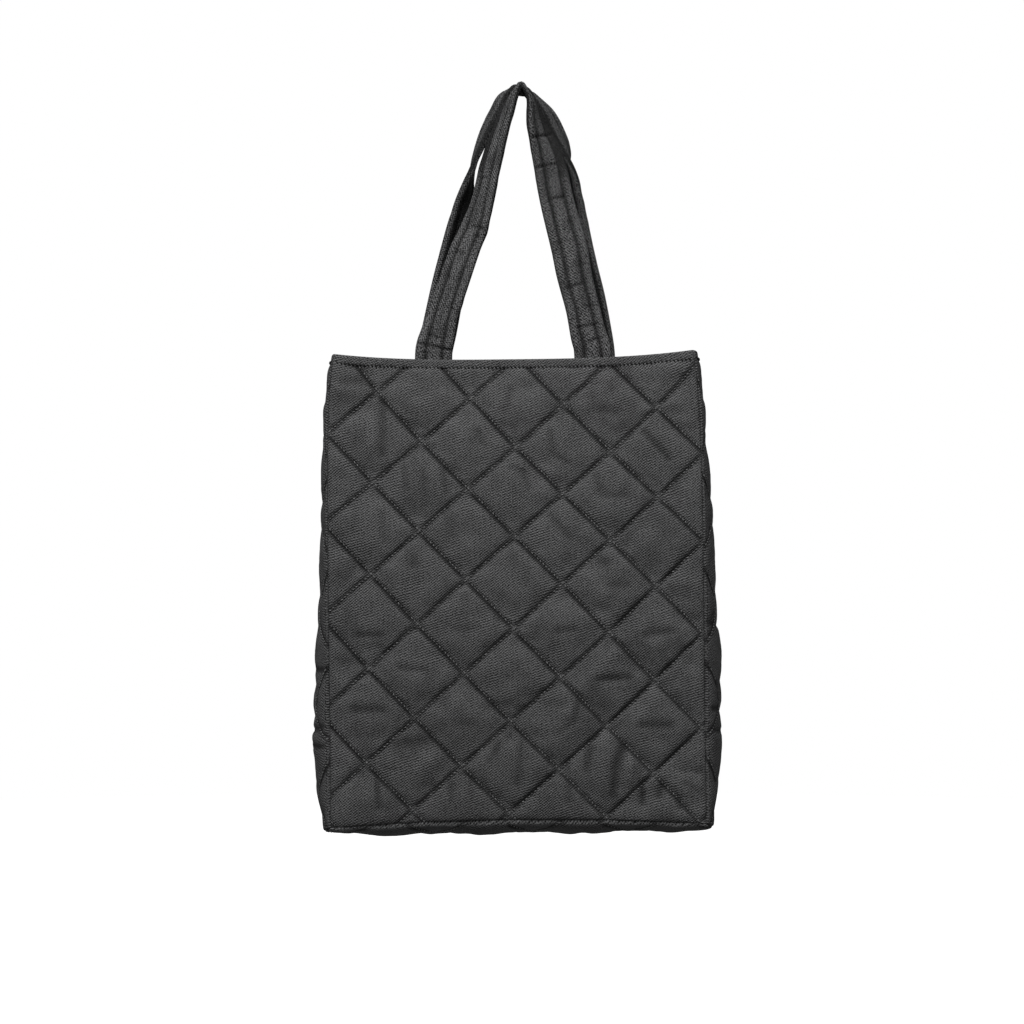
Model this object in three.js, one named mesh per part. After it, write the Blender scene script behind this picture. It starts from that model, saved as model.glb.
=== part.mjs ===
// Quilted tote bag hanging open by its two padded handles.
// Millimetres, +Z up, +X to the right of the front panel, front panel towards -Y.
// The origin is the point under the handles' peak that carries the bag.
import * as THREE from "three";

// Flat cloth pieces
const panelWidth = 302; // front and back, seam to seam
const panelHeight = 380; // hem corner to lower corner
const gussetWidth = 100; // side and bottom gussets, laid flat
const wallAtStitch = 2; // thickness where a stitch holds the padding down
const puffOutside = 2.2; // rise of the padding between stitches, outer face
const puffInside = 1.4; // the same on the inner face
const pinchReach = 14; // distance from a seam at which a puff is full
const hemDepth = 6.5; // edge of the mouth down to the hem's stitches
const hemThickness = 4; // turned-in edge of the mouth
const seamGap = 0.3; // clearance between two cloth pieces sewn together

// Form of the filled, hanging body
const hemDrawIn = 6.8; // each side of the mouth, pulled in from the panel's width
const hemDrawReach = 38; // how far down that pull fades
const hemDip = 6.6; // middle of the mouth below its corners
const bottomRise = 5; // middle of the lower front and back seams above their corners
const panelBulge = 8; // front and back, at their fullest
const bulgeDrop = 1.4; // over 1 the fullest place lies below mid-height
const gussetBow = 15; // side gussets, at their fullest
const cornerDrop = 6.5; // middle of the gusset to bottom seams below the corners
const bottomBelly = 3; // bottom, lower still between those seams
const archFullness = 2.5; // over 2 a gusset's arch is flatter in the middle than a parabola
const hangTurn = 0.65; // degrees, anticlockwise from the front
const bodyShift = 5.8; // mouth's centre, to the left of the hang point

// Handles
const handleDrop = 214; // hang point down to the mouth's corners
const strapWidth = 30;
const strapThickness = 5;
const strapEdgeRound = 1.8;
const strapSpread = 127; // one strap's legs, centre to centre at the mouth
const strapTail = 32; // sewn-in end, below the mouth's corners
const strapSeatGap = 0.3; // strap to the fullest puff of the panel's inner face
const strapPeakGap = 0.3; // between the two straps where they lie side by side

// Diamond quilting, from one crossing of the stitch lines to the next along a row and along a column.
const quiltPitchAcross = 76;
const quiltPitchDown = 75.5;
const puffSharpness = 0.6; // under 1 the padding rises steeply from a stitch line
// Each cloth piece has a crossing at across, down; its rows fall and its columns lean by these slopes.
const panelQuilt = { across: 36.6, down: 183.77, rowFall: 0.061, columnLean: 0.029 };
const gussetQuilt = { across: 18, down: 166, rowFall: 0, columnLean: 0 };
const bottomQuilt = { across: 12, down: 22, rowFall: 0, columnLean: 0 };

// Side gussets' bow by height: share of the way down, share of gussetBow.
const gussetBowRows = [
  [0, 0.42],
  [0.25, 0.42],
  [0.5, 0.68],
  [0.65, 0.9],
  [0.78, 1],
  [0.9, 0.78],
  [1, 0.47],
];

// Straps' centre lines from the left end over the peak to the right end: height as a share of handleDrop,
// place across as a share of half strapSpread, turn of the strap's width in degrees (0 faces front or back).
const frontStrapRows = [
  [0, -1, 0],
  [0.05, -0.965, 18],
  [0.12, -0.91, 32],
  [0.25, -0.79, 35],
  [0.38, -0.65, 36],
  [0.45, -0.55, 42],
  [0.57, -0.43, 61],
  [0.72, -0.335, 63],
  [0.84, -0.24, 75],
  [0.95, -0.105, 84],
  [0.977, -0.06, 88],
  [1, 0, 90],
  [0.975, 0.09, 92],
  [0.95, 0.14, 95],
  [0.85, 0.24, 112],
  [0.77, 0.34, 132],
  [0.7, 0.41, 153],
  [0.57, 0.5, 156],
  [0.38, 0.68, 172],
  [0.28, 0.75, 160],
  [0.15, 0.87, 152],
  [0.05, 0.95, 162],
  [0, 1, 180],
];
const backStrapRows = [
  [0, -1.04, 0],
  [0.1, -0.975, 14],
  [0.28, -0.865, 25],
  [0.41, -0.78, 35],
  [0.52, -0.72, 50],
  [0.6, -0.685, 65],
  [0.68, -0.65, 85],
  [0.76, -0.575, 92],
  [0.86, -0.43, 102],
  [0.93, -0.325, 103],
  [0.985, -0.2, 103],
  [1.014, -0.1, 96],
  [1.02, 0, 90],
  [1.014, 0.11, 82],
  [0.983, 0.2, 75],
  [0.92, 0.365, 74],
  [0.86, 0.475, 75],
  [0.8, 0.585, 79],
  [0.775, 0.625, 90],
  [0.75, 0.64, 100],
  [0.68, 0.635, 115],
  [0.59, 0.675, 135],
  [0.47, 0.73, 155],
  [0.345, 0.825, 165],
  [0.22, 0.94, 170],
  [0.1, 1.03, 172],
  [0, 1.09, 180],
];

// How finely the cloth is cut into facets
const panelStepsPerHalfPitch = 3;
const gussetStepsPerHalfPitch = 2;
const edgeSnap = 3; // lattice points nearer than this to an edge are laid on it
const strapStepsPerRow = 2;

const clothColour = 0x404040;
const strapColour = 0x484848;

const clamp = THREE.MathUtils.clamp;
const lerp = THREE.MathUtils.lerp;

function shareAt(rows, position) {
  const next = clamp(rows.findIndex(([start]) => start > position), 1, rows.length - 1);
  const upper = position >= rows[rows.length - 1][0] ? rows.length - 1 : next;
  const [start, from] = rows[upper - 1];
  const [end, to] = rows[upper];
  return THREE.MathUtils.mapLinear(position, start, end, from, to);
}

// Quilting. Lattice coordinates count half pitches; stitch lines run where their sum or difference is even.
function latticePoint(quilt, column, row) {
  const right = (column * quiltPitchAcross) / 2;
  const below = (row * quiltPitchDown) / 2;
  return [quilt.across + right - quilt.columnLean * below, quilt.down + below + quilt.rowFall * right];
}

function latticeAt(quilt, across, down) {
  const right = across - quilt.across;
  const below = down - quilt.down;
  const scale = 1 + quilt.columnLean * quilt.rowFall;
  const column = (right + quilt.columnLean * below) / (scale * quiltPitchAcross / 2);
  const row = (below - quilt.rowFall * right) / (scale * quiltPitchDown / 2);
  return [column, row];
}

function puffAt(column, row) {
  const rising = Math.sin((Math.PI * (column + row)) / 2);
  const falling = Math.sin((Math.PI * (column - row)) / 2);
  return Math.abs(rising * falling) ** puffSharpness;
}

// Keeps the part of a convex polygon where side(point) is not negative.
function clipPolygon(polygon, side) {
  return polygon.flatMap((point, index) => {
    const next = polygon[(index + 1) % polygon.length];
    const here = side(point);
    const there = side(next);
    const kept = here >= 0 ? [point] : [];
    if (here * there < 0) {
      const share = here / (here - there);
      kept.push([lerp(point[0], next[0], share), lerp(point[1], next[1], share)]);
    }
    return kept;
  });
}

// Flat rectangle of cloth cut into triangles along its quilting. Its points are [across, down], with across
// measured from the middle and down from the top edge.
function cutCloth(width, height, quilt, stepsPerHalfPitch) {
  const edges = [
    ([across]) => across + width / 2,
    ([across]) => width / 2 - across,
    ([, down]) => down,
    ([, down]) => height - down,
  ];
  const snap = ([across, down]) => [
    Math.abs(Math.abs(across) - width / 2) < edgeSnap ? Math.sign(across) * (width / 2) : across,
    Math.abs(down) < edgeSnap ? 0 : Math.abs(down - height) < edgeSnap ? height : down,
  ];
  const node = (i, j) => snap(latticePoint(quilt, i / stepsPerHalfPitch, j / stepsPerHalfPitch));
  const puff = (i, j) => puffAt(i / stepsPerHalfPitch, j / stepsPerHalfPitch);

  const points = [];
  const triangles = [];
  const known = new Map();
  const indexOf = (point) => {
    const key = point.map((length) => Math.round(length * 1000)).join();
    if (!known.has(key)) {
      known.set(key, points.length);
      points.push(point);
    }
    return known.get(key);
  };

  const reach = width / 2 + height;
  const columns = Math.ceil((reach * stepsPerHalfPitch * 2) / quiltPitchAcross);
  const rows = Math.ceil((reach * stepsPerHalfPitch * 2) / quiltPitchDown);
  for (let j = -rows; j < rows; j += 1) {
    for (let i = -columns; i < columns; i += 1) {
      const corners = [node(i, j), node(i + 1, j), node(i + 1, j + 1), node(i, j + 1)];
      const straight = puff(i, j) + puff(i + 1, j + 1) <= puff(i + 1, j) + puff(i, j + 1);
      const halves = straight ? [[0, 1, 2], [0, 2, 3]] : [[0, 1, 3], [1, 2, 3]];
      for (const half of halves) {
        const polygon = edges.reduce(clipPolygon, half.map((corner) => corners[corner]));
        const ring = polygon.map(indexOf).filter((index, place, all) => index !== all.at(place - 1));
        for (let k = 2; k < ring.length; k += 1) {
          const triangle = [ring[0], ring[k - 1], ring[k]];
          if (flatArea(triangle.map((index) => points[index])) > 0.001) triangles.push(triangle);
        }
      }
    }
  }
  return { width, height, quilt, points, triangles };
}

function flatArea([a, b, c]) {
  return Math.abs((b[0] - a[0]) * (c[1] - a[1]) - (c[0] - a[0]) * (b[1] - a[1])) / 2;
}

// Edges that belong to one triangle only, in that triangle's order.
function openEdges(triangles) {
  const directed = triangles.flatMap(([a, b, c]) => [[a, b], [b, c], [c, a]]);
  const seen = new Set(directed.map(([from, to]) => `${from},${to}`));
  return directed.filter(([from, to]) => !seen.has(`${to},${from}`));
}

function closedMesh(name, points, triangles, colour) {
  const sixVolumes = triangles.reduce((sum, [a, b, c]) => {
    const normal = new THREE.Vector3().crossVectors(points[b], points[c]);
    return sum + points[a].dot(normal);
  }, 0);
  const outward = sixVolumes > 0 ? triangles : triangles.map(([a, b, c]) => [a, c, b]);
  const geometry = new THREE.BufferGeometry().setFromPoints(points);
  geometry.setIndex(outward.flat());
  geometry.computeVertexNormals();
  const material = new THREE.MeshStandardMaterial({ color: colour, roughness: 0.95, metalness: 0 });
  const mesh = new THREE.Mesh(geometry, material);
  mesh.name = name;
  return mesh;
}

// A padded wall. place(across, down, inset, lift) puts a point of the flat cloth on the body, inset inwards
// from the outer face and lifted outwards by the padding. Hemmed cloth has a turned-in top edge, not a seam.
function paddedWall(name, cloth, hemmed, place) {
  const seamInset = seamGap / Math.SQRT2;
  const topInset = hemmed ? 0 : seamInset;
  const pinch = (distance) => Math.sin((Math.PI / 2) * clamp(distance / pinchReach, 0, 1));
  const liftAt = ([across, down]) => {
    const sides = pinch(cloth.width / 2 - Math.abs(across));
    const ends = pinch(cloth.height - down) * pinch(hemmed ? down - hemDepth : down);
    const padding = puffAt(...latticeAt(cloth.quilt, across, down)) * sides * ends;
    const hem = hemmed ? clamp(1 - down / hemDepth, 0, 1) * sides * (hemThickness - wallAtStitch) / 2 : 0;
    return { padding, hem };
  };
  const skin = (inset, rise, direction) => cloth.points.map((point) => {
    const { padding, hem } = liftAt(point);
    const across = point[0] * (1 - (2 * seamInset) / cloth.width);
    const down = lerp(topInset, cloth.height - seamInset, point[1] / cloth.height);
    return place(across, down, inset, direction * (rise * padding + hem));
  });
  const count = cloth.points.length;
  const outer = skin(0, puffOutside, 1);
  const inner = skin(wallAtStitch, puffInside, -1);
  const triangles = [
    ...cloth.triangles,
    ...cloth.triangles.map(([a, b, c]) => [a + count, c + count, b + count]),
    ...openEdges(cloth.triangles).flatMap(([from, to]) => [
      [to, from, from + count],
      [to, from + count, to + count],
    ]),
  ];
  return closedMesh(name, [...outer, ...inner], triangles, clothColour);
}

// Form of the body. down is a share of the panel height; across and deep run from -1 to 1 between two seams.
const arch = (deep) => 1 - Math.abs(deep) ** archFullness;
const bowAt = (down) => gussetBow * shareAt(gussetBowRows, down);
const seamHalfWidth = (down) => panelWidth / 2 - hemDrawIn * Math.exp((-down * panelHeight) / hemDrawReach);
// The gusset's width is shared between the body's depth and its own bow.
const halfDepth = (down) => gussetWidth / 2 - (4 / 3) * (bowAt(down) ** 2 / gussetWidth);
const bulgeAt = (across, down) => {
  const drop = clamp(down, 0, 1) ** bulgeDrop;
  return panelBulge * (1 - across ** 2) * Math.sin(Math.PI * drop);
};
const hemLevel = (across) => -hemDip * (1 - Math.abs(across) ** 3);
const seamLevel = (across) => -panelHeight + bottomRise * (1 - across ** 2);

function panel(name, side) {
  const cloth = cutCloth(panelWidth, panelHeight, panelQuilt, panelStepsPerHalfPitch);
  return paddedWall(name, cloth, true, (x, z, inset, lift) => {
    const across = x / (panelWidth / 2);
    const down = z / panelHeight;
    return new THREE.Vector3(
      across * (seamHalfWidth(down) - inset),
      side * (halfDepth(down) - inset + bulgeAt(across, down) + lift),
      lerp(hemLevel(across), seamLevel(across) + inset, down),
    );
  });
}

function sideGusset(name, side) {
  const cloth = cutCloth(gussetWidth, panelHeight, gussetQuilt, gussetStepsPerHalfPitch);
  return paddedWall(name, cloth, true, (y, z, inset, lift) => {
    const deep = y / (gussetWidth / 2);
    const down = z / panelHeight;
    return new THREE.Vector3(
      side * (seamHalfWidth(down) - inset + bowAt(down) * arch(deep) + lift),
      deep * (halfDepth(down) - inset),
      lerp(0, -panelHeight + inset - cornerDrop * arch(deep), down),
    );
  });
}

function bottomGusset(name) {
  const cloth = cutCloth(panelWidth, gussetWidth, bottomQuilt, gussetStepsPerHalfPitch);
  return paddedWall(name, cloth, false, (x, y, inset, lift) => {
    const across = x / (panelWidth / 2);
    const deep = (2 * y) / gussetWidth - 1;
    const hollow = arch(deep);
    const sag = hollow * (cornerDrop + bottomBelly * (1 - across ** 6));
    return new THREE.Vector3(
      across * (seamHalfWidth(1) - inset + bowAt(1) * hollow),
      deep * (halfDepth(1) - inset),
      lerp(seamLevel(across), -panelHeight, hollow) - sag + inset - lift,
    );
  });
}

// Straps stand on the inner faces of the panels and lean together up to the hang point.
const innerRise = Math.max(puffInside, (hemThickness - wallAtStitch) / 2);
const strapSeat = halfDepth(0) - wallAtStitch - innerRise - strapSeatGap - strapThickness / 2;
const strapPeak = (strapWidth + strapPeakGap) / 2;

function strapCentre(height, x, z, side) {
  return new THREE.Vector3(x, side * lerp(strapSeat, strapPeak, clamp(height, 0, 1)), z);
}

function strapStation([height, across]) {
  const x = (across * strapSpread) / 2 - bodyShift * (1 - clamp(height, 0, 1));
  return new THREE.Vector3(x, 0, handleDrop * (height - 1) + strapThickness / 2);
}

function strapSection() {
  const halfWidth = strapWidth / 2;
  const halfThickness = strapThickness / 2;
  const corner = [
    [halfWidth, halfThickness - strapEdgeRound],
    [halfWidth - strapEdgeRound, halfThickness],
  ];
  const mirrored = corner.map(([wide, thick]) => [-wide, thick]).reverse();
  const upper = [...corner, ...mirrored];
  return [...upper, ...upper.map(([wide, thick]) => [-wide, -thick])];
}

function strap(name, rows, side) {
  const tail = ([, across, turn]) => [-strapTail / handleDrop, across, turn];
  const stations = [tail(rows[0]), ...rows, tail(rows[rows.length - 1])];
  const route = new THREE.CatmullRomCurve3(stations.map(strapStation));
  const spans = (stations.length - 1) * strapStepsPerRow;
  const centres = Array.from({ length: spans + 1 }, (_, step) => {
    const { x, z } = route.getPoint(step / spans);
    return strapCentre((z - strapThickness / 2) / handleDrop + 1, x, z, side);
  });
  const section = strapSection();
  const points = centres.flatMap((centre, step) => {
    const row = Math.min(Math.floor(step / strapStepsPerRow), stations.length - 2);
    const turn = lerp(stations[row][2], stations[row + 1][2], step / strapStepsPerRow - row);
    const angle = THREE.MathUtils.degToRad(turn);
    const along = centres[Math.min(step + 1, spans)].clone().sub(centres[Math.max(step - 1, 0)]).normalize();
    const wide = new THREE.Vector3(Math.cos(angle), side * Math.sin(angle), 0);
    wide.addScaledVector(along, -wide.dot(along)).normalize();
    const thick = new THREE.Vector3().crossVectors(along, wide);
    return section.map(([w, t]) => centre.clone().addScaledVector(wide, w).addScaledVector(thick, t));
  });
  const size = section.length;
  const triangles = [];
  for (let step = 0; step < spans; step += 1) {
    for (let k = 0; k < size; k += 1) {
      const here = step * size;
      const next = (k + 1) % size;
      const above = here + size;
      triangles.push([here + k, here + next, above + next], [here + k, above + next, above + k]);
    }
  }
  const last = spans * size;
  for (let k = 2; k < size; k += 1) triangles.push([0, k, k - 1], [last, last + k - 1, last + k]);
  return closedMesh(name, points, triangles, strapColour);
}

const body = new THREE.Group();
body.position.set(-bodyShift, 0, -handleDrop);
body.rotation.y = -THREE.MathUtils.degToRad(hangTurn);
body.add(panel("front_panel", -1), panel("back_panel", 1));
body.add(sideGusset("left_gusset", -1), sideGusset("right_gusset", 1));
body.add(bottomGusset("bottom_gusset"));

const group = new THREE.Group();
group.add(body, strap("front_strap", frontStrapRows, -1), strap("back_strap", backStrapRows, 1));

export default group;
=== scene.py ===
"""Quilted tote bag that hangs open by its two padded handles: walls, handles, stitches and a plain stage."""

import math

import bpy
import numpy as np
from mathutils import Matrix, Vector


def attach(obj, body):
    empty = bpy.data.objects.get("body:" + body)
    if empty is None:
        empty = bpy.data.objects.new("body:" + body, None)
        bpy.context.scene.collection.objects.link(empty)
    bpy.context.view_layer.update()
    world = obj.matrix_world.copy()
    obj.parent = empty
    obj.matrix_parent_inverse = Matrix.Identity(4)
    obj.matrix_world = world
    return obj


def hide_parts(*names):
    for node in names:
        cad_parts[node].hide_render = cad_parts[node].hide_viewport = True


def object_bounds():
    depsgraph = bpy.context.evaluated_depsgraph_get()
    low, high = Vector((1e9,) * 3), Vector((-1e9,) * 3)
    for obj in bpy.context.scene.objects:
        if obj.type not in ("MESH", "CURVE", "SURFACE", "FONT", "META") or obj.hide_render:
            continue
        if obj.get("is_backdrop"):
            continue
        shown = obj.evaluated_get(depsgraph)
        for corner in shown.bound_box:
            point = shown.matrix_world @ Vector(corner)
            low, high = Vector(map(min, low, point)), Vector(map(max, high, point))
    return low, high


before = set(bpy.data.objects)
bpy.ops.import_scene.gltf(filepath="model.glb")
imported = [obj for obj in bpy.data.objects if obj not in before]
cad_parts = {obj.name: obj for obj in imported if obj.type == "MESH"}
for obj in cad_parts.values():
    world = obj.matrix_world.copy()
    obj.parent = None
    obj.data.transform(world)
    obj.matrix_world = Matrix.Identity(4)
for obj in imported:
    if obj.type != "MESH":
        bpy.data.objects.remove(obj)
CAD_BOX = [list(corner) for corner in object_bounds()]

bl_info = {
    "name": "Quilted Tote Bag",
    "version": (1, 0, 0),
    "blender": (4, 5, 0),
    "location": "3D View > Sidebar > Tote Bag",
    "description": "Builds a diamond quilted tote bag with padded handles, on a plain stage",
    "category": "Add Mesh",
}

MM = 0.001
MESH_STEPS = 16  # along each side of a quilted diamond, before the mesh is divided once more
STITCH_CROWDING = 0.72  # how far the mesh is drawn towards the stitches, of the most it can be
EDGE_SNAP = 0.12  # of a mesh step: points so near the edge of the cloth are moved onto it
START_RIPPLE = 0.04 * MM  # random start of the cloth simulation
FARTHEST_PUCKER = 2.5 * MM  # most that the simulation may move a point
GROOVE_DENT = 0.3 * MM  # how far the cloth lies below the rest where its painted shade is darkest
GUSSET_PUFF = 0.85  # rise of the gussets' padding on the outer face, as a share of the panels'
ARCH_HEIGHT = 0.24  # of a gusset's usual bow, as a share of its half width
HANDLE_PLACES = 900  # even places along a handle's curve
TURN_REACH = 12  # of those places, over which a handle's turn is evened out
HANDLE_STEP = 1.1 * MM  # length of a mesh step along a handle
LUMP_DEPTH = 0.4 * MM  # uneven padding of the handles
LUMP_EDGE = 1.2 * MM  # a handle has no lumps where its half thickness is below this

# Uneven padding of the walls: depth, spacing across and spacing down in mm, and the random seed.
WALL_UNEVENNESS = [(1, 10, 14, 3), (0.7, 24, 30, 5), (0.3, 5, 7, 9)]
FOLD_PRESS = 1.2  # how deep a fold of depth 1 is pressed into the padding, in mm

# Side gussets' bow by height: share of the way down, share of the gusset bow.
# The hanging cloth drapes unevenly, so the left and the right one have rows of their own.
BOW_ROWS = [(0, 0.42), (0.25, 0.42), (0.5, 0.68), (0.65, 0.9), (0.78, 1), (0.9, 0.78), (1, 0.47)]
LEFT_BOW_ROWS = [
    (0, 0.15), (0.06, 0.16), (0.12, 0.28), (0.25, 0.29), (0.37, 0.37), (0.47, 0.38), (0.53, 0.56),
    (0.65, 0.67), (0.73, 0.85), (0.8, 0.91), (0.86, 0.76), (0.9, 0.78), (1, 0.47),
]
RIGHT_BOW_ROWS = [
    (0, 0.34), (0.05, 0.24), (0.09, 0.28), (0.14, 0.37), (0.19, 0.29), (0.26, 0.42), (0.37, 0.58),
    (0.44, 0.55), (0.5, 0.66), (0.6, 0.78), (0.7, 0.89), (0.8, 0.85), (0.9, 0.71), (1, 0.47),
]

# Handles' centre lines: height as a share of the handle drop, place across as a share of half the spread,
# turn of the handle's width in degrees (0 faces front or back).
FRONT_HANDLE_ROWS = [
    (0, -1, 0), (0.05, -0.965, 18), (0.12, -0.91, 32), (0.25, -0.78, 34), (0.38, -0.645, 34),
    (0.45, -0.55, 40), (0.57, -0.44, 56), (0.72, -0.343, 57), (0.84, -0.237, 66), (0.95, -0.118, 74),
    (0.977, -0.075, 82), (1.004, 0, 90), (0.975, 0.1, 93), (0.95, 0.148, 97), (0.85, 0.232, 119),
    (0.77, 0.332, 142), (0.7, 0.405, 154), (0.57, 0.5, 156), (0.38, 0.68, 172), (0.28, 0.75, 162),
    (0.15, 0.87, 156), (0.05, 0.95, 165), (0, 1, 180),
]
BACK_HANDLE_ROWS = [
    (0, -1.04, 0), (0.1, -0.975, 14), (0.28, -0.865, 25), (0.41, -0.775, 33), (0.52, -0.71, 48),
    (0.6, -0.675, 63), (0.66, -0.643, 83), (0.7, -0.607, 92), (0.76, -0.552, 97), (0.86, -0.425, 108),
    (0.93, -0.305, 111), (0.994, -0.19, 109), (1.014, -0.1, 100), (1.009, 0, 90), (1.003, 0.11, 81),
    (0.975, 0.2, 72), (0.92, 0.355, 63), (0.86, 0.465, 60), (0.8, 0.575, 62), (0.775, 0.615, 73),
    (0.752, 0.638, 88), (0.7, 0.663, 108), (0.59, 0.69, 133), (0.47, 0.745, 154), (0.345, 0.838, 164),
    (0.22, 0.952, 169), (0.1, 1.042, 171), (0, 1.1, 180),
]

# Wrinkles of the front handle, pressed into its outer face and painted with shade: which leg (-1 left, 1
# right), height above the mouth's corners, from and to across, and depth, all in mm.
WRINKLES = [
    (1, 176, -15, 15, 1.5), (1, 152, -15, 6, 1.4), (1, 125, -8, 8, 1.4), (1, 54, -10, 6, 1.3),
    (1, 21, -9, 10, 1.3), (-1, 101, -15, 2, 1.5), (-1, 95, -12, -3, 1), (-1, 4, -14, 12, 1.6),
    (-1, 12, -3, 8, 1.2), (1, 9, -2, 12, 1.1), (1, 36, 2, 12, 1), (-1, 142, -4, 10, 0.8),
    (-1, 60, 3, 12, 0.8), (1, 90, -12, 4, 0.8), (1, 106, 0, 13, 0.7), (-1, 80, -3, 9, 0.7),
    (-1, 36, -11, -2, 0.8), (1, 70, 1, 12, 0.7),
]

# Where the front panel's quilting wanders from even rows: (across, down) in mm, at five places
# across and seven down.
WANDER = [
    [(0.9, 4.2), (0.5, 3.8), (0.1, 4.2), (-0.6, 5.2), (-1.5, 6)],
    [(-0.2, 3.8), (-0.1, 3.5), (0.2, 4), (0.2, 4.8), (-0.8, 5.7)],
    [(-0.3, 1.3), (-0.2, 1.7), (0.5, 2.1), (0.8, 2), (-0.2, 1.1)],
    [(-0.2, 0.3), (-0.2, 1.3), (0.5, 1.6), (1, 0.8), (-0.1, -1.5)],
    [(-0.2, 1.5), (-0.5, 2.8), (0.4, 3), (1, 1.7), (-0.1, -1.4)],
    [(-0.7, 2.3), (-1.1, 3.7), (0.1, 3.9), (1.1, 2.5), (0.3, -1.1)],
    [(-1.2, 2.3), (-1.5, 3.5), (0, 3.7), (1.6, 2.5), (1, 0)],
]

# Each wall's quilting has a crossing at across, down (m); rows fall and columns lean by these slopes.
QUILTS = {
    "panel": (36.6 * MM, 183.77 * MM, 0.061, 0.029),
    "gusset": (18 * MM, 166 * MM, 0, 0),
    "bottom": (12 * MM, 22 * MM, 0, 0),
}

# Soft folds by wall, pressed into the padding and painted with shade: from across and down, to across and
# down, half width and depth, all in mm. A depth below 0 is a ridge, painted paler.
FOLDS = {
    "front_panel": [
        (-138, 7, -124, 7, 3.5, 1.2), (-140, 21, -126, 20, 4, 1), (-142, 34, -132, 36, 6, 0.7),
        (-54, 15, -53, 35, 2, 0.4), (-106, 36, -106, 78, 3.2, 1.1), (-89, 89, -87, 105, 3, 1),
        (-73, 92, -72, 120, 3, 0.7), (-57, 92, -55, 109, 2.5, 0.8), (-107, 125, -106, 146, 3, 0.6),
        (-2, 25, -7, 42, 3.5, 0.9), (-30, 58, -25, 70, 3, 0.8), (-3, 89, 7, 93, 3, 0.8),
        (7, 93, 11, 106, 3, 0.9), (29, 60, 31, 78, 2.5, 0.9), (31, 79, 44, 86, 2.2, 0.9),
        (64, 31, 66, 42, 3.5, 0.7), (66, 42, 83, 45, 3.5, 0.8), (105, 62, 124, 85, 2.5, 1.5),
        (65, 97, 70, 113, 3, 0.9), (70, 113, 85, 114, 3, 0.8), (28, 129, 44, 148, 2.5, 1),
        (-51, 131, -50, 143, 4, 0.6), (-82, 157, -81, 167, 5, 0.6), (-3, 163, 1, 170, 4, 0.6),
        (109, 130, 126, 146, 7, 0.6), (122, 158, 110, 166, 7, 0.5), (68, 165, 72, 167, 5, 0.6),
        (74, 187, 89, 187, 3, 0.8), (9, 174, 9, 187, 3, 0.5), (-126, 225, -108, 225, 2.5, 1.1),
        (-93, 252, -73, 254, 2.5, 0.9), (-48, 221, -34, 221, 3, 0.6), (33, 224, 46, 222, 3, 0.9),
        (103, 227, 124, 224, 3, 1.1), (66, 263, 90, 262, 2.8, 1.5), (-7, 261, 8, 260, 4, 0.5),
        (-132, 285, -108, 286, 3.5, 1.2), (-46, 300, -38, 300, 4, 0.6), (49, 282, 45, 299, 2, 0.9),
        (45, 299, 32, 308, 2, 0.8), (25, 284, 36, 283, 4, 0.5), (99, 301, 122, 301, 3, 1),
        (-97, 314, -73, 313, 6, 1), (-98, 316, -93, 324, 4, 0.6), (-113, 338, -112, 366, 2, 1.3),
        (-16, 317, -22, 330, 3.5, 0.9), (3, 315, 0, 350, 2.5, 0.9), (-54, 342, -53, 362, 2.5, 0.9),
        (-37, 340, -37, 362, 2.5, 0.7), (41, 348, 41, 364, 3, 0.8), (58, 319, 55, 338, 3.5, 0.9),
        (83, 321, 78, 336, 4, 1.8), (78, 336, 76, 358, 3.5, 1.5), (99, 348, 99, 366, 2, 1.8),
        (115, 350, 113, 358, 3, 1.6), (129, 359, 129, 367, 2, 1.5), (132, 337, 146, 337, 3, 0.8),
        (134, 348, 146, 354, 3, 0.7), (70, 309, 72, 312, 5, -0.9), (108, 343, 110, 345, 4, -1.1),
        (-73, 325, -70, 326, 5, -0.7), (38, 292, 42, 288, 4, -0.7), (-116, 45, -116, 70, 3, -0.5),
        (90, 325, 88, 345, 3, -0.6),
    ],
    "left_gusset": [
        (-47, 252, -12, 250, 2.2, 2.2), (-44, 297, -8, 300, 2.5, 2.2), (-46, 313, -14, 311, 2, 1.8),
    ],
    "right_gusset": [
        (-47, 217, -10, 219, 2.2, 2), (-44, 286, -8, 284, 2.2, 2.2), (-45, 302, -12, 304, 2, 1.6),
        (-40, 213, -24, 205, 2, 1.2),
    ],
}


# Sizes and colours


def size(name, description, default):
    return bpy.props.FloatProperty(
        name=name,
        description=description,
        default=default,
        min=0,
        precision=4,
        unit="LENGTH",
        subtype="DISTANCE",
    )


def angle(name, description, degrees):
    return bpy.props.FloatProperty(
        name=name, description=description, default=math.radians(degrees), subtype="ANGLE"
    )


def power(name, description, watts):
    return bpy.props.FloatProperty(name=name, description=description, default=watts, min=0, unit="POWER")


def share(name, description, default, low=0.0, high=10.0):
    return bpy.props.FloatProperty(name=name, description=description, default=default, min=low, max=high)


def colour(name, description, default):
    return bpy.props.FloatVectorProperty(
        name=name, description=description, default=default, size=3, min=0, max=1, subtype="COLOR"
    )


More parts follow.
